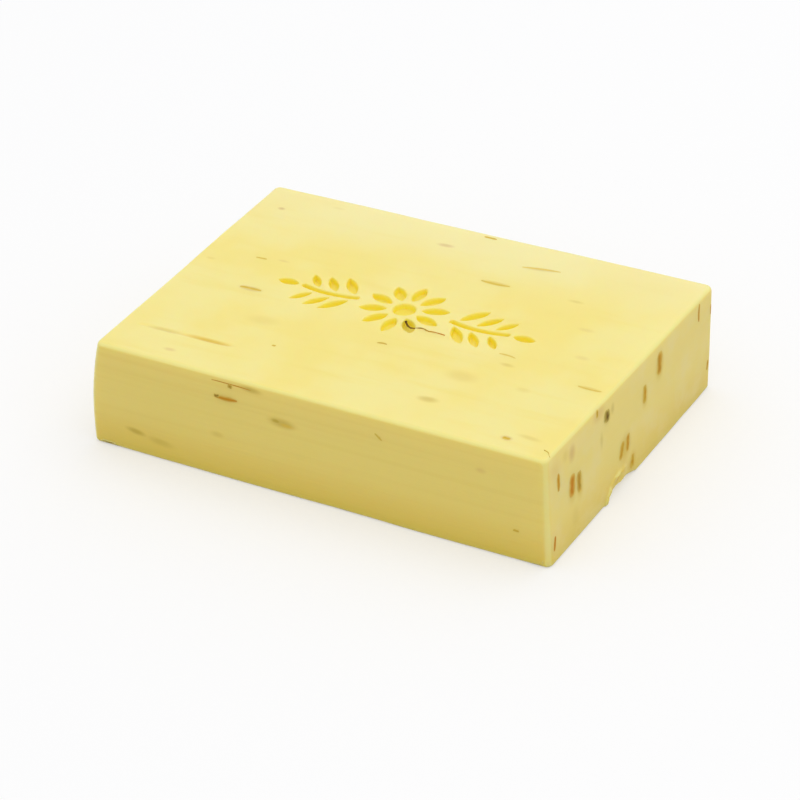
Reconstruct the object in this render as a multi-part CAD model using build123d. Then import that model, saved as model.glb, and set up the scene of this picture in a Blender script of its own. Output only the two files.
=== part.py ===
from build123d import *
import os
from math import atan2, cos, degrees, radians, sin, sqrt

# A hand-cut bar of soap with a stamped top, in millimetres.
# X runs along the bar, Y across it and Z up. The origin is the middle of the base.
# The bar is one casting: it was poured as a slab, sliced with a wire and stamped with a die.

# The slice. The length is measured along the middle of the base, from the bulge of the left end.
bar_length = 97.3
bar_width = 68.5
bar_height = 22.3

# The left end bows outwards. The bow is part of a large round, furthest out at bow_height.
bow_radius = 70.0
bow_height = 2.5

# Neither end was sliced quite square: on both, the front corner lies inboard of the back one by a
# skew. The wire also twisted as it went down the right end: there the top lies inboard of the
# base by front_lean at the front, and by back_lean at the back.
bow_skew = 1.76
end_skew = 0.6
front_lean = 0.8
back_lean = -0.2

# Worn edges.
top_edge_radius = 0.9
corner_radius = 1.4
base_edge_radius = 0.6

# A flake is chipped out of the right end's lower edge. It left two scoops, a wide one with a
# steeper one beside it: each has a radius, a depth into the edge and a place along it.
chip_scoops = [(17.0, 1.3, -5.0), (6.0, 1.5, -7.3)]

# The die: every recess is this deep, and narrows by stamp_slope a side towards its floor.
stamp_depth = 1.2
stamp_slope = 0.35
stamp_x = 0.8
stamp_y = 1.0
press_overlap = 0.2

# The flower in the middle of the stamp.
flower_petals = 10
eye_radius = 2.3
eye_gap = 0.9
petal_length = 5.6
petal_width = 2.6

# A leafy sprig on each side of the flower. Each pair of leaves is leaf_shrink shorter than the last.
sprig_gap = 1.4
stem_length = 11.4
stem_sag = 0.8
stem_width = 1.3
leaf_pairs = 3
leaf_length = 6.6
leaf_width = 2.3
leaf_shrink = 0.12
leaf_angle = 52.0
leaf_gap = 0.5
end_leaf_length = 4.6


def sliced_bar():
    """The bar as the wire left it: flat faces, but for a bowed left end and a twisted right end."""
    spare = 5.0
    on_base = (Align.CENTER, Align.CENTER, Align.MIN)
    block = Box(bar_length + 2 * spare, bar_width, bar_height, align=on_base)
    skew = Rot(0, 0, degrees(atan2(bow_skew, bar_width)))
    bow = Pos(bow_radius - bar_length / 2, 0, bow_height) * skew * Rot(90, 0, 0)
    bowed = block & bow * Cylinder(bow_radius, 2 * bar_width)
    front_cut = end_cut(-1, front_lean, spare)
    back_cut = end_cut(1, back_lean, spare)
    return bowed - loft([front_cut, back_cut], ruled=True)


def end_cut(side, lean, spare):
    """The outline of what the wire cut off the right end, at the front for side -1 or the back for 1."""
    y = side * bar_width / 2
    base_x = (bar_length + side * end_skew) / 2
    top_x = base_x - lean
    outer_x = bar_length / 2 + 2 * spare
    points = [(base_x, y, 0), (top_x, y, bar_height), (outer_x, y, bar_height), (outer_x, y, 0)]
    return make_face(Polyline(*points, close=True))


def worn(bar):
    """The bar with its four upright corners, its top edges and its base edges rounded."""
    upright = bar.edges().filter_by(spans_height)
    bar = fillet(upright, corner_radius)
    bar = fillet(bar.faces().sort_by(Axis.Z)[-1].edges(), top_edge_radius)
    return fillet(bar.faces().sort_by(Axis.Z)[0].edges(), base_edge_radius)


def spans_height(edge):
    """True for an edge that runs from the base to the top."""
    box = edge.bounding_box()
    return box.max.Z - box.min.Z > 0.9 * bar_height


def scoop(radius, depth, place):
    """One scoop of the chip, as the ball that would cut it out of the right end's lower edge."""
    reach = (radius - depth) / sqrt(2)
    return Pos(bar_length / 2 + reach, place, -reach) * Sphere(radius)


def leaf(length, width):
    """A pointed oval from the origin along +X."""
    tip = (length, 0)
    upper = ThreePointArc((0, 0), (length / 2, width / 2), tip)
    lower = ThreePointArc(tip, (length / 2, -width / 2), (0, 0))
    return make_face([upper, lower])


def pressed(rim, floor):
    """The plug that presses one recess: rim is its outline at the top face, floor the one at its bottom."""
    high = Pos(0, 0, bar_height + press_overlap) * rim
    low = Pos(0, 0, bar_height - stamp_depth) * floor
    return loft([high, low], ruled=True)


def pressed_leaf(x, y, angle, length, width):
    """One leaf or petal of the die, from (x, y) outwards at an angle."""
    slope = stamp_slope
    rim = leaf(length, width)
    floor = Pos(slope, 0, 0) * leaf(length - 2 * slope, width - 2 * slope)
    place = Pos(x, y, 0) * Rot(0, 0, angle)
    return pressed(place * rim, place * floor)


def flower():
    """The die's flower: a round eye with a ring of petals."""
    plugs = [pressed(Circle(eye_radius), Circle(eye_radius - stamp_slope))]
    reach = eye_radius + eye_gap
    for n in range(flower_petals):
        angle = 360 / flower_petals * (n + 0.5)
        x, y = reach * cos(radians(angle)), reach * sin(radians(angle))
        plugs.append(pressed_leaf(x, y, angle, petal_length, petal_width))
    return plugs


def sprig():
    """The die's right-hand sprig: a sagging stem, pairs of leaves along it and one at its end."""
    start = eye_radius + eye_gap + petal_length + sprig_gap
    end = start + stem_length
    stem = ThreePointArc((start, 0), (start + stem_length / 2, -stem_sag), (end, 0))
    plugs = [pressed(SlotArc(stem, stem_width), SlotArc(stem, stem_width - 2 * stamp_slope))]
    off_stem = stem_width / 2 + leaf_gap
    for n in range(leaf_pairs):
        node = stem @ ((n + 0.25) / leaf_pairs)
        size = 1 - leaf_shrink * n
        for side in (1, -1):
            y = node.Y + side * off_stem
            leaf_size = (leaf_length * size, leaf_width * size)
            plugs.append(pressed_leaf(node.X, y, side * leaf_angle, *leaf_size))
    plugs.append(pressed_leaf(end + off_stem, 0, 0, end_leaf_length, leaf_width))
    return plugs


def die():
    """Every plug of the stamp, in place over the bar's top."""
    right = sprig()
    left = [mirror(plug, about=Plane.YZ) for plug in right]
    return [Pos(stamp_x, stamp_y, 0) * plug for plug in flower() + right + left]


def soap_bar():
    """The finished bar: sliced, worn, stamped and chipped."""
    bar = worn(sliced_bar())
    for plug in die():
        bar -= plug
    for row in chip_scoops:
        bar -= scoop(*row)
    return bar


os.makedirs("parts", exist_ok=True)
export_step(soap_bar(), "parts/soap_bar.step")
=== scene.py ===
import random
from math import atan2, exp, pi, radians

import bmesh
import bpy
from mathutils import Matrix, Vector, noise
from mathutils.bvhtree import BVHTree


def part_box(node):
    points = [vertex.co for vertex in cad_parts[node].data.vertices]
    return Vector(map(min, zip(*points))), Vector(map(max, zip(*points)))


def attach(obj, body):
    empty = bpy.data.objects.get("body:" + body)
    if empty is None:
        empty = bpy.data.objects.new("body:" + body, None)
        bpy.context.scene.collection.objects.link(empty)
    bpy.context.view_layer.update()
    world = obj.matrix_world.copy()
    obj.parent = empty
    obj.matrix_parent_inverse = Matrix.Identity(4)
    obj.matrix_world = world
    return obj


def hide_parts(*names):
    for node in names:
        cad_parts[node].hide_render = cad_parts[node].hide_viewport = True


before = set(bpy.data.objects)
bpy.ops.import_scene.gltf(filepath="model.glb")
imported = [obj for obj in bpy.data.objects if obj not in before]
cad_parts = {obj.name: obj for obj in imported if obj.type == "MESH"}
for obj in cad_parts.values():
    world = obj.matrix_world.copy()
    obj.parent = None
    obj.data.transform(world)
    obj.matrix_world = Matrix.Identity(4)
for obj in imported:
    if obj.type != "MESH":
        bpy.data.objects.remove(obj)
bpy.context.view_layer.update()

# The bar: pale yellow soap, poured as a slab, sliced with a wire and stamped with a die.
# Its mesh is the CAD bar cut into small cells, so that its worn faces and edges can bend and dip.
left, front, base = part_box("soap_bar")[0]
right, back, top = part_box("soap_bar")[1]
mm = 0.001
cell = 1.0 * mm

bar = bmesh.new()
bar.from_mesh(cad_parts["soap_bar"].data)
bmesh.ops.remove_doubles(bar, verts=bar.verts, dist=0.001 * mm)
bmesh.ops.dissolve_limit(bar, angle_limit=radians(1), verts=bar.verts, edges=bar.edges)


def cut_cells(faces, low, high, pitch):
    """Cuts faces of the bar into cells of a pitch, by planes across X, Y and Z between two corners."""
    edges = {edge for face in faces for edge in face.edges}
    verts = {vert for face in faces for vert in face.verts}
    geometry = list(faces) + list(edges) + list(verts)
    for axis in range(3):
        across = Vector([axis == 0, axis == 1, axis == 2])
        for n in range(1, round((high[axis] - low[axis]) / pitch)):
            place = across * (low[axis] + n * pitch)
            cut = bmesh.ops.bisect_plane(
                bar, geom=geometry, dist=0.02 * mm, plane_co=place, plane_no=across
            )
            geometry = cut["geom"]


def inside(point, low, high):
    """True where a point lies in the box between two corners."""
    return all(low[axis] <= point[axis] <= high[axis] for axis in range(3))


def cut_finer(low, high, pitch):
    """Cuts the cells inside a box into finer ones, then closes the slivers and mends any tear."""
    faces = [face for face in bar.faces if inside(face.calc_center_median(), low, high)]
    cut_cells(faces, low, high, pitch)
    verts = [vert for vert in bar.verts if inside(vert.co, low, high)]
    bmesh.ops.remove_doubles(bar, verts=verts, dist=0.3 * pitch)
    for n in range(3):
        bmesh.ops.triangulate(bar, faces=bar.faces)
        poor = [edge for edge in bar.edges if len(edge.link_faces) != 2]
        torn = {face for edge in poor for vert in edge.verts for face in vert.link_faces}
        bmesh.ops.delete(bar, geom=list(torn), context="FACES")
        rims = [edge for edge in bar.edges if len(edge.link_faces) == 1]
        bmesh.ops.holes_fill(bar, edges=rims, sides=0)


cut_cells(bar.faces, Vector((left, front, base)), Vector((right, back, top)), cell)

# The stamp: the die sank a flower between two leafy sprigs into the soap while it was soft.
# The rims of its recesses are rounded, and the soap in them is painted a deeper yellow, strongest on the
# walls: painted light that shines through the soap and bounces between the walls.
stamp_low = Vector((-27.7, -8.3, top / mm - 1.4)) * mm
stamp_high = Vector((29.3, 10.3, top / mm + 0.5)) * mm
cut_finer(stamp_low, stamp_high, 0.25 * mm)
recess_glow_mask = bar.verts.layers.float.new("recess_glow_mask")
pressed = [vert for vert in bar.verts if inside(vert.co, stamp_low, stamp_high)]
for n in range(3):
    bmesh.ops.smooth_vert(
        bar, verts=pressed, factor=0.5, use_axis_x=True, use_axis_y=True, use_axis_z=True
    )
bar.normal_update()
# Painted glow mask: stronger deeper in the recess and on its steep walls.
for vert in pressed:
    depth = max(0, min(1, (top - vert.co.z) / (0.9 * mm)))
    vert[recess_glow_mask] = depth ** 0.5 * (0.55 + 0.45 * (1 - vert.normal.z))

# The chip: a flake broke out of the right end's lower edge, and left a rough, curved scar.
chip_middle = Vector((right, -6.0 * mm, base))
chip_low = chip_middle - Vector((5, 8.5, 1)) * mm
chip_high = chip_middle + Vector((1, 8.5, 5)) * mm
cut_finer(chip_low, chip_high, 0.4 * mm)
lip_radius = 6.6 * mm
lip_rise = 0.5 * mm


def chip_lip(point):
    """How far the torn lip round the chip stands out of the end at a point."""
    middle = chip_middle + Vector((0, 0, -2.6)) * mm
    off = (Vector((0, point.y - middle.y, point.z - middle.z)).length - lip_radius) / (0.45 * mm)
    share = max(0, min(1, (chip_middle.y + 3.5 * mm - point.y) / (3 * mm)))
    torn = 0.6 + 0.8 * noise.noise(point * 700)
    return lip_rise * exp(-off * off) * share * torn if point.x > right - 2 * mm else 0


# The crease: a shallow groove near the front left of the top, where the slab's skin folded over.
crease_start = Vector((-40.9, -24.9, top / mm)) * mm
crease_end = Vector((-21.9, -24.4, top / mm)) * mm
crease_width = 0.45 * mm
crease_depth = 0.22 * mm
margin = Vector((1, 1, 1)) * mm
cut_finer(crease_start - margin, crease_end + margin, 0.25 * mm)


def along(point, start, end):
    """How far along a line a point lies, from 0 at its start to 1 at its end, and how far off it."""
    line = end - start
    share = (point - start).dot(line) / line.length_squared
    return share, (point - start - line * min(1, max(0, share))).length


def crease_dip(point):
    """How deep the crease is at a point."""
    share, off = along(point, crease_start, crease_end)
    return crease_depth * exp(-((off / crease_width) ** 2)) * (0.6 + 0.4 * min(1, max(0, share)))


# Wear: the cut faces are slightly wavy, the edges wander, and handling has left small dimples.
for vert in bar.verts:
    spot = vert.co.copy()
    if abs(spot.z - top) < 0.3 * mm:
        vert.co.z -= crease_dip(spot)
bar.normal_update()
wave_height = 0.09 * mm
dimple_depth = 0.04 * mm
scar_middle = chip_middle + Vector((-0.5, 0, 0.8)) * mm
scar_reach = 7 * mm
scar_roughness = 0.22 * mm
for vert in bar.verts:
    spot = vert.co.copy()
    if spot.z < base + 0.05 * mm:
        continue
    swell = wave_height * noise.noise(spot * 45)
    swell += dimple_depth * noise.noise(spot * 160 + Vector((5, 1, 8)))
    scar = max(0, 1 - (spot - scar_middle).length / scar_reach)
    swell += scar_roughness * scar * noise.noise(spot * 900) + chip_lip(spot)
    vert.co += vert.normal * swell
    vert.co.z = max(vert.co.z, base)

for face in bar.faces:
    face.smooth = True
shell = bpy.data.meshes.new("soap")
bar.to_mesh(shell)
soap = bpy.data.objects.new("soap", shell)
bpy.context.scene.collection.objects.link(soap)
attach(soap, "root")
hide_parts("soap_bar")


# Petals and stalks: dried flower petals were stirred into the soap. The wire cut through some and
# smeared them flat, others show as blurred shadows just under the surface or have stained it.
# Each face has its middle, the directions along and across it, and the way out of it. Places along
# the bar are measured from a line 48.4 mm inside the right end.
middle_x = right - 48.4 * mm
faces = {
    "top": (Vector((middle_x, 0, top)), Vector((1, 0, 0)), Vector((0, 1, 0)), Vector((0, 0, 1))),
    "base": (Vector((middle_x, 0, base)), Vector((1, 0, 0)), Vector((0, -1, 0)), Vector((0, 0, -1))),
    "front": (Vector((middle_x, front, base)), Vector((1, 0, 0)), Vector((0, 0, 1)), Vector((0, -1, 0))),
    "back": (Vector((middle_x, back, base)), Vector((-1, 0, 0)), Vector((0, 0, 1)), Vector((0, 1, 0))),
    "right": (Vector((right, 0, base)), Vector((0, 1, 0)), Vector((0, 0, 1)), Vector((1, 0, 0))),
    "left": (Vector((left, 0, base)), Vector((0, -1, 0)), Vector((0, 0, 1)), Vector((-1, 0, 0))),
}

# Each petal: its face, its place on it, its length and width, in millimetres, its turn in degrees,
# its bend as a share of its length, and its tone, from 0, nearly black, to 1, the soap's own yellow.
petals = [
    ("top", -30.1, -4.7, 5.0, 0.9, 2, 0.03, 0.72),
    ("top", 11.0, 17.1, 6.6, 0.8, 1, -0.04, 0.78),
    ("top", 16.5, 25.5, 8.4, 0.6, 9, 0.02, 0.88),
    ("top", 2.0, 32.6, 3.0, 0.7, 0, 0.0, 0.7),
    ("top", 25.1, -5.8, 3.8, 0.5, -5, 0.06, 0.82),
    ("top", 43.4, -9.5, 5.0, 0.6, 0, -0.05, 0.8),
    ("top", 2.4, -11.8, 2.2, 0.6, 8, 0.1, 0.6),
    ("top", -15.2, -20.9, 0.9, 0.6, 0, 0.0, 0.68),
    ("top", -34.4, 6.4, 2.6, 0.6, 3, 0.0, 0.78),
    ("top", 37.4, -30.4, 1.6, 1.0, 0, 0.0, 0.62),
    ("front", -17.7, 17.7, 5.4, 1.1, 1, -0.02, 0.44),
    ("front", -19.6, 17.8, 1.3, 0.9, 10, 0.0, 0.25),
    ("front", -16.3, 20.9, 9.2, 0.3, -1, 0.01, 0.45),
    ("front", -16.6, 20.5, 1.2, 1.1, -10, 0.0, 0.3),
    ("front", 14.0, 18.2, 2.0, 0.6, -40, 0.0, 0.74),
    ("front", 41.0, 6.3, 1.4, 0.7, 0, 0.0, 0.66),
    ("right", 10.7, 17.8, 5.2, 2.6, 86, 0.02, 0.4),
    ("right", 4.4, 14.6, 4.2, 1.9, 90, 0.0, 0.58),
    ("right", -11.0, 18.5, 2.8, 2.6, 80, 0.0, 0.08),
    ("right", 27.7, 19.6, 4.2, 1.0, 88, 0.03, 0.54),
    ("right", 32.4, 5.6, 2.4, 1.0, 84, 0.0, 0.4),
    ("right", 33.0, 17.6, 2.4, 0.7, 88, 0.0, 0.5),
    ("right", -24.8, 12.0, 5.0, 2.8, 84, 0.02, 0.47),
    ("right", -22.0, 11.2, 4.8, 2.2, 92, 0.05, 0.32),
    ("right", -29.9, 15.6, 4.0, 1.3, 90, 0.0, 0.55),
    ("right", -2.6, 8.3, 4.0, 1.9, 84, 0.05, 0.56),
    ("right", -5.2, 7.9, 4.0, 2.1, 68, 0.0, 0.58),
    ("right", -0.8, 3.2, 3.2, 2.1, 80, 0.0, 0.58),
    ("right", -32.1, 4.2, 3.2, 1.1, 80, 0.0, 0.5),
    ("right", -14.7, 21.0, 1.8, 1.0, 90, 0.0, 0.6),
]

# Each blurred patch in the soap's colour: its face, place, length, width, turn, strength and kind.
stains = [
    ("top", 20.9, -15.6, 9.0, 5.0, 0, 0.24, "olive"),
    ("top", -21.7, -14.0, 9.0, 4.5, 5, 0.16, "olive"),
    ("top", 32.9, -15.0, 4.0, 2.2, 0, 0.16, "olive"),
    ("top", 37.6, -0.6, 4.0, 2.0, 0, 0.14, "brown"),
    ("top", 34.0, 8.7, 4.5, 1.8, 0, 0.14, "brown"),
    ("top", -29.9, 7.3, 3.5, 1.2, 0, 0.16, "brown"),
    ("top", -4.5, 26.2, 4.8, 1.8, 3, 0.36, "brown"),
    ("top", 27.8, 17.3, 4.5, 1.4, 0, 0.24, "olive"),
    ("top", -31.8, -30.4, 3.6, 1.6, 0, 0.24, "brown"),
    ("top", 37.4, -30.3, 3.0, 2.0, 0, 0.40, "brown"),
    ("top", 41.0, -28.6, 6.5, 1.8, -5, 0.26, "olive"),
    ("top", 26.5, -8.6, 4.0, 1.6, -3, 0.34, "olive"),
    ("top", -41.4, 25.7, 2.2, 1.5, 0, 0.40, "brown"),
    ("top", -43.4, 2.3, 3.0, 1.2, 0, 0.15, "olive"),
    ("top", -31.0, 30.6, 4.0, 1.4, 0, 0.12, "olive"),
    ("top", 19.1, -25.1, 5.6, 2.6, 4, 0.50, "olive"),
    ("top", -30.1, -4.7, 6.5, 2.2, 2, 0.35, "brown"),
    ("top", -36.5, -24.8, 11.0, 1.8, 1, 0.34, "olive"),
    ("top", -26.5, -24.5, 9.5, 1.3, 2, 0.50, "olive"),
    ("top", -27.5, -24.5, 14.0, 1.9, 2, 0.80, "gold"),
    ("top", 16.5, 25.5, 10.0, 1.8, 9, 0.30, "olive"),
    ("top", 11.0, 17.1, 8.0, 2.0, 1, 0.50, "gold"),
    ("top", 43.4, -9.5, 6.5, 1.6, 0, 0.50, "gold"),
    ("front", -20.1, 9.3, 4.0, 1.8, 0, 0.26, "olive"),
    ("front", -6.0, 15.5, 8.0, 2.8, -2, 0.60, "olive"),
    ("front", -7.2, 15.7, 3.4, 1.6, -4, 0.90, "olive"),
    ("front", -5.0, 15.2, 4.0, 1.3, -2, 0.80, "gold"),
    ("front", -12.2, 20.9, 6.5, 1.8, -2, 0.60, "olive"),
    ("front", 34.3, 17.0, 3.0, 1.6, 0, 0.20, "brown"),
    ("front", -38.4, 4.8, 6.0, 1.8, -8, 0.70, "olive"),
    ("front", -33.0, 3.9, 8.0, 2.4, -6, 0.36, "olive"),
    ("front", -17.7, 17.7, 7.0, 2.4, 1, 0.45, "gold"),
    ("right", 10.7, 17.3, 8.0, 4.6, 86, 0.85, "gold"),
    ("right", 4.4, 14.2, 6.5, 3.4, 90, 0.80, "gold"),
    ("right", -10.8, 18.2, 4.2, 4.0, 90, 0.55, "olive"),
    ("right", -8.7, 18.8, 3.6, 2.2, 85, 0.45, "olive"),
    ("right", -24.8, 11.4, 8.5, 4.6, 86, 0.90, "gold"),
    ("right", -22.0, 10.4, 8.0, 4.0, 92, 0.80, "gold"),
    ("right", -3.8, 7.8, 8.5, 7.0, 75, 0.80, "gold"),
    ("right", -0.8, 3.2, 5.6, 4.2, 80, 0.80, "gold"),
    ("right", -6.2, 3.4, 5.0, 2.0, 28, 1.0, "gold"),
    ("right", -9.2, 2.4, 4.4, 2.0, 60, 1.0, "gold"),
    ("right", -24.6, 18.6, 5.4, 3.8, 88, 0.50, "brown"),
    ("right", -27.0, 19.4, 4.0, 3.6, 88, 0.28, "olive"),
    ("right", -13.2, 14.6, 5.2, 1.8, 90, 0.34, "olive"),
    ("right", -14.0, 20.6, 4.4, 7.0, 90, 0.30, "brown"),
    ("right", -31.0, 18.6, 6.0, 7.0, 60, 0.20, "brown"),
    ("right", -24.0, 5.0, 6.0, 4.0, 90, 0.16, "olive"),
]

tree = BVHTree.FromBMesh(bar)


def on_soap(face, u, v, lift):
    """The point on the bar's surface at a place on one face, lifted out of the soap by a length."""
    middle, first, second, out = faces[face]
    start = middle + (first * u + second * v) * mm + out * (5 * mm)
    hit = tree.ray_cast(start, -out)[0]
    return (hit or start - out * (5 * mm)) + out * lift


petal_crown = 0.02 * mm
petal_rim_dip = 0.04 * mm
petal_sink = 0.3 * mm


def add_petal(mesh, tone_layer, film_layer, face, u, v, length, width, turn, bend, tone):
    """One sliver of petal: a bent strap sunk into the surface, its rim under a film of soap."""
    strip = bmesh.ops.create_grid(mesh, x_segments=16, y_segments=8, size=0.5)
    made = strip["verts"]
    heading = Matrix.Rotation(radians(turn), 2)
    rag = Vector((u, v, length))
    for vert in made:
        s, t = vert.co.x, vert.co.y
        taper = (1 - (2 * abs(s)) ** 4) * 0.75 + 0.25
        ragged = 1 + 0.3 * noise.noise(rag + Vector((s * 3.5, 3 * (t > 0), 0)))
        across = t * width * taper * ragged + bend * length * (1 - 4 * s * s)
        place = heading @ Vector((s * length, across))
        rim = max(2 * abs(t), 1 - (1 - 2 * abs(s)) * length / width)
        lift = -petal_rim_dip if rim > 0.95 else petal_crown
        vert.co = on_soap(face, u + place.x, v + place.y, lift)
        fibre = 0.22 * noise.noise(rag * 3 + Vector((s * 5, t * 4, 0)))
        film = max(0, rim - 0.15 + fibre) / 0.85
        vert[film_layer] = min(1, film) ** 1.2
        vert[tone_layer] = tone + 0.5 * fibre * (1 - tone)
    out = faces[face][3]
    skin = list({f for vert in made for f in vert.link_faces})
    under = bmesh.ops.extrude_face_region(mesh, geom=skin)["geom"]
    for part in under:
        if isinstance(part, bmesh.types.BMVert):
            part.co -= out * petal_sink
    for f in skin:
        f.smooth = True


def laid_in(mesh, name):
    """A closed mesh of petals or stalk, made a piece of the bar."""
    bmesh.ops.recalc_face_normals(mesh, faces=mesh.faces)
    data = bpy.data.meshes.new(name)
    mesh.to_mesh(data)
    piece = bpy.data.objects.new(name, data)
    bpy.context.scene.collection.objects.link(piece)
    data.materials.append(petal_finish)
    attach(piece, "root")


def petal_piece(name, rows):
    """The petals of one face as one piece."""
    mesh = bmesh.new()
    tone_layer = mesh.verts.layers.float.new("tone")
    film_layer = mesh.verts.layers.float.new("film")
    for row in rows:
        add_petal(mesh, tone_layer, film_layer, *row)
    laid_in(mesh, name)


# The soap itself: waxy and a little translucent. Its top is painted paler, a painted sheen of the overhead
# light, over a real pale mottle and fine streaks.


def colour(red, green, blue):
    """A linear colour from the 0 to 255 values of a colour as it is seen."""
    shares = [value / 255 for value in (red, green, blue)]
    linear = [share / 12.92 if share < 0.04 else ((share + 0.055) / 1.055) ** 2.4 for share in shares]
    return (*linear, 1)


class Finish:
    """A material being made: its nodes, added and joined in one call each."""

    def __init__(self, name):
        self.material = bpy.data.materials.new(name)
        self.material.use_nodes = True
        self.nodes = self.material.node_tree.nodes
        self.links = self.material.node_tree.links
        self.surface = self.nodes["Principled BSDF"]
        self.place = self.nodes.new("ShaderNodeTexCoord").outputs["Object"]

    def join(self, source, socket):
        """Sets a socket to a number or colour, or links it to an output."""
        if isinstance(source, bpy.types.NodeSocket):
            self.links.new(source, socket)
        elif source is not None:
            socket.default_value = source

    def math(self, kind, first, second=None):
        """One sum of numbers, such as ADD."""
        node = self.nodes.new("ShaderNodeMath")
        node.operation = kind
        self.join(first, node.inputs[0])
        self.join(second, node.inputs[1])
        return node.outputs[0]

    def ramp(self, value, start, end, low=0.0, high=1.0):
        """A smooth change from low to high while a value goes from start to end."""
        node = self.nodes.new("ShaderNodeMapRange")
        node.interpolation_type = "SMOOTHSTEP"
        for number, source in enumerate((value, start, end, low, high)):
            self.join(source, node.inputs[number])
        return node.outputs[0]

    def mix(self, share, first, second):
        """One colour turning into another."""
        node = self.nodes.new("ShaderNodeMix")
        node.data_type = "RGBA"
        self.join(share, node.inputs["Factor"])
        self.join(first, node.inputs[6])
        self.join(second, node.inputs[7])
        return node.outputs[2]

    def grain(self, scale, detail=3.0, stretch=(1, 1, 1), place=None):
        """Noise of so many waves a metre, stretched along the axes."""
        mapping = self.nodes.new("ShaderNodeMapping")
        mapping.inputs["Scale"].default_value = stretch
        self.join(place or self.place, mapping.inputs["Vector"])
        node = self.nodes.new("ShaderNodeTexNoise")
        node.inputs["Scale"].default_value = scale
        node.inputs["Detail"].default_value = detail
        self.links.new(mapping.outputs[0], node.inputs["Vector"])
        return node.outputs["Fac"]

    def spot(self, middle, size, turn):
        """1 in the middle of a soft-edged oval and 0 outside it."""
        mapping = self.nodes.new("ShaderNodeMapping")
        mapping.vector_type = "TEXTURE"
        mapping.inputs["Location"].default_value = middle
        mapping.inputs["Rotation"].default_value = turn
        mapping.inputs["Scale"].default_value = size
        self.join(self.place, mapping.inputs["Vector"])
        length = self.nodes.new("ShaderNodeVectorMath")
        length.operation = "LENGTH"
        self.links.new(mapping.outputs[0], length.inputs[0])
        return self.ramp(length.outputs["Value"], 1.0, 0.15)

    def bump(self, height, distance, before=None):
        """A normal bent by a height."""
        node = self.nodes.new("ShaderNodeBump")
        node.inputs["Distance"].default_value = distance
        self.join(height, node.inputs["Height"])
        self.join(before, node.inputs["Normal"])
        return node.outputs[0]


waxy = Finish("waxy_soap")
split = waxy.nodes.new("ShaderNodeSeparateXYZ")
waxy.join(waxy.place, split.inputs[0])
height = split.outputs["Z"]
facing = waxy.nodes.new("ShaderNodeSeparateXYZ")
waxy.join(waxy.nodes["Texture Coordinate"].outputs["Normal"], facing.inputs[0])
up = facing.outputs["Z"]
# Painted sheen: the top face is painted paler than the sides, standing in for the overhead light's sheen.
painted_top_sheen = waxy.math("MULTIPLY", waxy.ramp(height, top - 1.2 * mm, top - 0.2 * mm), waxy.ramp(up, 0.4, 0.95))
# Painted shade: the sides are painted darker and a deeper yellow towards the base.
low_side_painted_shade = colour(236, 208, 84)
high_side = colour(251, 226, 122)
cut_side = waxy.mix(waxy.ramp(height, base - 2 * mm, base + 11 * mm), low_side_painted_shade, high_side)
bands = waxy.grain(1, 3, stretch=(7, 7, 900))
across_front = waxy.math("ABSOLUTE", facing.outputs["Y"])
banding = waxy.math("MULTIPLY", waxy.ramp(bands, 0.42, 0.72, 0, 0.28), across_front)
cut_side = waxy.mix(banding, cut_side, colour(240, 212, 104))
across_end = waxy.math("ABSOLUTE", facing.outputs["X"])
end_mottle = waxy.math("MULTIPLY", waxy.ramp(waxy.grain(160, 3), 0.4, 0.75, 0, 0.5), across_end)
cut_side = waxy.mix(end_mottle, cut_side, colour(248, 228, 150))
top_mottle_and_painted_sheen = waxy.mix(waxy.ramp(waxy.grain(45, 3), 0.35, 0.65), colour(254, 231, 130), colour(254, 236, 150))
streaks = waxy.grain(1, 4, stretch=(40, 260, 40))
top_mottle_and_painted_sheen = waxy.mix(waxy.ramp(streaks, 0.5, 0.8, 0, 0.5), top_mottle_and_painted_sheen, colour(250, 226, 118))
# Painted reflection: the top is painted paler still towards the back.
top_mottle_and_painted_sheen = waxy.mix(waxy.ramp(split.outputs["Y"], 10 * mm, back, 0, 0.5), top_mottle_and_painted_sheen, colour(255, 241, 184))
body = waxy.mix(painted_top_sheen, cut_side, top_mottle_and_painted_sheen)
# Painted highlight: the rounded edges, away from the stamp, are painted paler.
flattest = waxy.math("MAXIMUM", waxy.math("MAXIMUM", across_front, across_end), waxy.math("ABSOLUTE", up))
hollow = waxy.nodes.new("ShaderNodeAttribute")
hollow.attribute_name = "recess_glow_mask"
outside_stamp = waxy.ramp(hollow.outputs["Fac"], 0.1, 0)
painted_edge_highlight = waxy.math("MULTIPLY", waxy.ramp(flattest, 0.99, 0.84, 0, 0.6), outside_stamp)
body = waxy.mix(painted_edge_highlight, body, colour(255, 240, 156))


def over_face(face, along_face, across_face):
    """The point, in metres, at a place on one face of the bar given in millimetres."""
    middle, first, second, _ = faces[face]
    return middle + (first * along_face + second * across_face) * mm


def blotches(kind):
    """Where petals of one kind lie just under the soap or have stained it: 0 outside, up to 1 inside."""
    total = None
    for face, u, v, length, width, turn, strength, stain in stains:
        if stain != kind:
            continue
        axes = Matrix(faces[face][1:]).transposed() @ Matrix.Rotation(radians(turn), 3, "Z")
        size = Vector((length / 2, width / 2, 3)) * mm
        one = waxy.spot(over_face(face, u, v), size, axes.to_euler())
        one = waxy.math("MULTIPLY", one, strength)
        total = one if total is None else waxy.math("MAXIMUM", total, one)
    return total


body = waxy.mix(blotches("olive"), body, colour(200, 172, 40))
body = waxy.mix(blotches("brown"), body, colour(190, 140, 84))
body = waxy.mix(blotches("gold"), body, colour(232, 196, 58))
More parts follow.
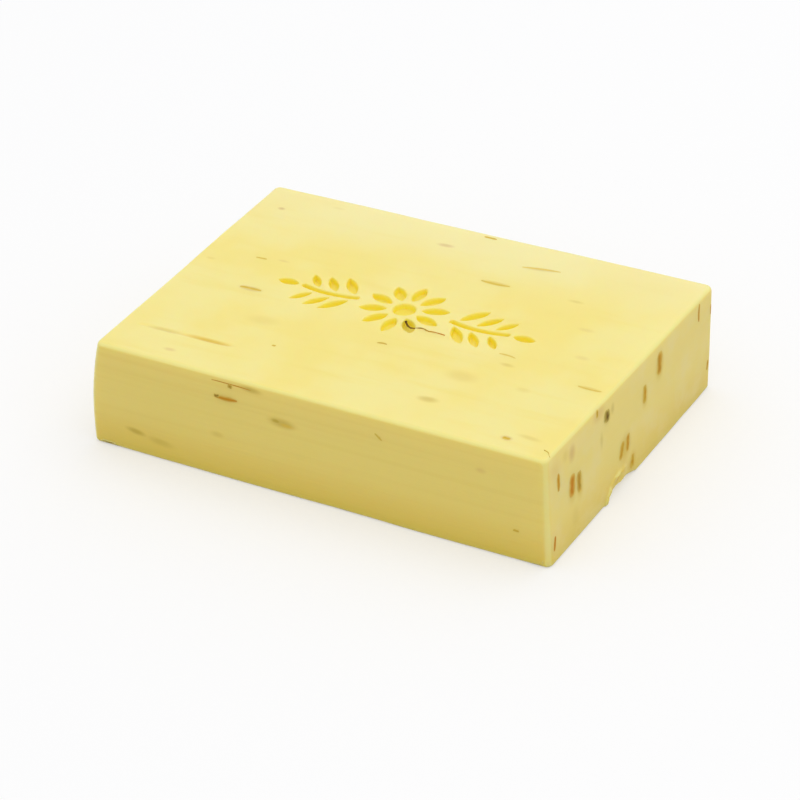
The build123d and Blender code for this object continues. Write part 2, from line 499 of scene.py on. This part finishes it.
# Painted glow: the stamp's recesses are painted a deeper, brighter yellow.
body = waxy.mix(hollow.outputs["Fac"], body, colour(255, 235, 48))
waxy.join(body, waxy.surface.inputs["Base Color"])
waxy.surface.inputs["Roughness"].default_value = 0.45
waxy.surface.inputs["Subsurface Weight"].default_value = 0.5
waxy.surface.inputs["Subsurface Radius"].default_value = (1.0, 0.75, 0.3)
waxy.surface.inputs["Subsurface Scale"].default_value = 3 * mm
drag = waxy.grain(1.0, 2, stretch=(60, 60, 2200))
waxy.join(waxy.bump(drag, 0.00006), waxy.surface.inputs["Normal"])
shell.materials.append(waxy.material)

# The petals' finish: dry and fibrous, from nearly black through brown and orange to pale gold.
dry = Finish("dried_petals")
tone = dry.nodes.new("ShaderNodeAttribute")
tone.attribute_name = "tone"
tones = dry.nodes.new("ShaderNodeValToRGB")
dry.join(tone.outputs["Fac"], tones.inputs[0])
first, last = tones.color_ramp.elements
first.color = colour(84, 60, 6)
last.color = colour(250, 226, 126)
steps = [
    (0.15, colour(150, 118, 40)),
    (0.3, colour(188, 148, 50)),
    (0.42, colour(208, 148, 34)),
    (0.5, colour(208, 126, 16)),
    (0.6, colour(212, 172, 50)),
    (0.78, colour(228, 196, 80)),
]
for share, shade in steps:
    tones.color_ramp.elements.new(share).color = shade
film = dry.nodes.new("ShaderNodeAttribute")
film.attribute_name = "film"
filmed = dry.mix(film.outputs["Fac"], tones.outputs[0], colour(246, 222, 112))
dry.join(filmed, dry.surface.inputs["Base Color"])
dry.surface.inputs["Roughness"].default_value = 0.7
dry.surface.inputs["Specular IOR Level"].default_value = 0.15
fibres = dry.grain(1, 2, stretch=(900, 900, 900))
dry.join(dry.bump(fibres, 0.00005), dry.surface.inputs["Normal"])
petal_finish = dry.material

chance = random.Random(7)
# The faces that lie out of sight carry petals of the same kind, strewn at random: for each face, how
# far along it they reach, how many there are, and the turn that they lie about.
hidden = [("left", 30, 14, 90), ("back", 44, 10, 0), ("base", 44, 20, 0)]
for face, reach, count, turn in hidden:
    for n in range(count):
        across = chance.uniform(3, 19) if face != "base" else chance.uniform(-30, 30)
        length = chance.uniform(1.2, 5)
        width = chance.uniform(0.35, 1.1)
        place = chance.uniform(-reach, reach)
        lean = turn + chance.uniform(-12, 12)
        bend = chance.uniform(-0.06, 0.06)
        petals.append((face, place, across, length, width, lean, bend, chance.uniform(0.2, 0.85)))
for face in faces:
    petal_piece("petals_" + face, [row for row in petals if row[0] == face])

# The stalks: stiff dark fibres of the petals' stems that lie on the soap. The longest one lies
# across the stamp, thick and black at one end, thin and red-brown at the other.


def stalk(name, points, thick, thin, tone_start, tone_end):
    """A tapering fibre along points on the top, given in millimetres."""
    line = bpy.data.curves.new(name, "CURVE")
    line.dimensions = "3D"
    guide = line.splines.new("NURBS")
    guide.points.add(len(points) - 1)
    for point, (u, v) in zip(guide.points, points):
        point.co = (middle_x + u * mm, v * mm, top, 1)
    guide.order_u = 3
    guide.use_endpoint_u = True
    guide.resolution_u = 8
    bent = bpy.data.objects.new(name + "_line", line)
    path = [vert.co.copy() for vert in bpy.data.meshes.new_from_object(bent).vertices]
    places = [((spot.x - middle_x) / mm, spot.y / mm) for spot in path]
    heights = [max(top - 0.35 * mm, on_soap("top", *place, 0).z) for place in places]
    mesh = bmesh.new()
    tone_layer = mesh.verts.layers.float.new("tone")
    rings = []
    for n, spot in enumerate(path):
        share = n / (len(path) - 1)
        near = heights[max(0, n - 5):n + 6]
        heading = path[min(n + 1, len(path) - 1)] - path[max(n - 1, 0)]
        turned = Matrix.Rotation(atan2(heading.y, heading.x), 4, "Z") @ Matrix.Rotation(pi / 2, 4, "Y")
        radius = (thick + (thin - thick) * share ** 0.3) * mm / 2
        radius *= 1 + 0.25 * noise.noise(spot * 1500)
        middle = Vector((spot.x, spot.y, sum(near) / len(near) + 0.2 * radius))
        place = Matrix.Translation(middle) @ turned
        ring = bmesh.ops.create_circle(mesh, segments=8, radius=radius, matrix=place)
        for vert in ring["verts"]:
            vert[tone_layer] = tone_start + (tone_end - tone_start) * share
        rings.append(ring["verts"])
    bmesh.ops.bridge_loops(mesh, edges=mesh.edges)
    for ring in (rings[0], rings[-1]):
        bmesh.ops.contextual_create(mesh, geom=ring)
    for face in mesh.faces:
        face.smooth = True
    laid_in(mesh, name)


across_stamp = [(2.3, -2.4), (3.2, -3.7), (4.9, -4.3), (6.6, -3.6), (7.9, -4.3), (9.4, -3.9), (11.4, -4.2)]
by_corner = [(45.0, -31.0), (45.9, -31.2), (46.3, -31.9), (46.7, -32.3)]
stalk("stalk_on_stamp", across_stamp, 0.55, 0.22, 0.0, 0.5)
stalk("stalk_by_corner", by_corner, 0.2, 0.1, 0.6, 0.7)

# The studio: a pale floor, a soft overhead lamp and a white surround.
floor_mesh = bpy.data.meshes.new("floor")
sheet = bmesh.new()
floor_place = Matrix.Translation((0, 0, -0.05 * mm))
bmesh.ops.create_grid(sheet, x_segments=1, y_segments=1, size=3, matrix=floor_place)
sheet.to_mesh(floor_mesh)
floor = bpy.data.objects.new("floor", floor_mesh)
bpy.context.scene.collection.objects.link(floor)
paper = Finish("white_paper")
paper.surface.inputs["Base Color"].default_value = (0.6, 0.6, 0.605, 1)
paper.surface.inputs["Roughness"].default_value = 0.9
paper.surface.inputs["Specular IOR Level"].default_value = 0.0
glow = paper.nodes.new("ShaderNodeEmission")
glow.inputs["Color"].default_value = (1, 1, 1, 1)
seen = paper.nodes.new("ShaderNodeLightPath")
rays = paper.math("MAXIMUM", seen.outputs["Is Camera Ray"], seen.outputs["Is Glossy Ray"])
rays = paper.math("MAXIMUM", rays, seen.outputs["Is Transmission Ray"])
paper.join(paper.math("MULTIPLY", rays, 0.41), glow.inputs["Strength"])
both = paper.nodes.new("ShaderNodeAddShader")
paper.join(paper.surface.outputs[0], both.inputs[0])
paper.join(glow.outputs[0], both.inputs[1])
paper.join(both.outputs[0], paper.nodes["Material Output"].inputs["Surface"])
floor_mesh.materials.append(paper.material)

world = bpy.data.worlds.new("studio")
bpy.context.scene.world = world
world.use_nodes = True
sky = world.node_tree.nodes["Background"]
sky_path = world.node_tree.nodes.new("ShaderNodeLightPath")
sky_level = world.node_tree.nodes.new("ShaderNodeMapRange")
sky_level.inputs["To Min"].default_value = 0.81
sky_level.inputs["To Max"].default_value = 1.0
rays = sky_path.outputs["Is Camera Ray"]
for kind in ("Is Glossy Ray", "Is Transmission Ray"):
    either = world.node_tree.nodes.new("ShaderNodeMath")
    either.operation = "MAXIMUM"
    world.node_tree.links.new(rays, either.inputs[0])
    world.node_tree.links.new(sky_path.outputs[kind], either.inputs[1])
    rays = either.outputs[0]
world.node_tree.links.new(rays, sky_level.inputs["Value"])
world.node_tree.links.new(sky_level.outputs[0], sky.inputs["Strength"])
sky.inputs["Color"].default_value = (1, 1, 1, 1)


def lamp(name, place, size, power):
    """A square soft lamp that shines at the middle of the bar."""
    light = bpy.data.objects.new(name, bpy.data.lights.new(name, "AREA"))
    light.data.size = size
    light.data.energy = power
    light.location = place
    light.rotation_euler = (-Vector(place)).to_track_quat("-Z", "Y").to_euler()
    bpy.context.scene.collection.objects.link(light)


lamp("overhead", (0.25, 0.15, 1.1), 1.0, 2.4)

camera = bpy.data.objects.new("camera", bpy.data.cameras.new("camera"))
bpy.context.scene.collection.objects.link(camera)
camera.data.lens = 125.0
turned = Matrix.Rotation(radians(29.98), 3, "Z")
tilted = Matrix.Rotation(radians(90 - 31.89), 3, "X")
rolled = Matrix.Rotation(radians(-2.27), 3, "Z")
pose = turned @ tilted @ rolled
aim = Vector((middle_x + 5.6 * mm, -11.5 * mm, 10.85 * mm))
camera.location = aim + pose @ Vector((0, 0, 0.5136))
camera.rotation_euler = pose.to_euler()
bpy.context.scene.camera = camera
bpy.context.scene.view_settings.view_transform = "Standard"
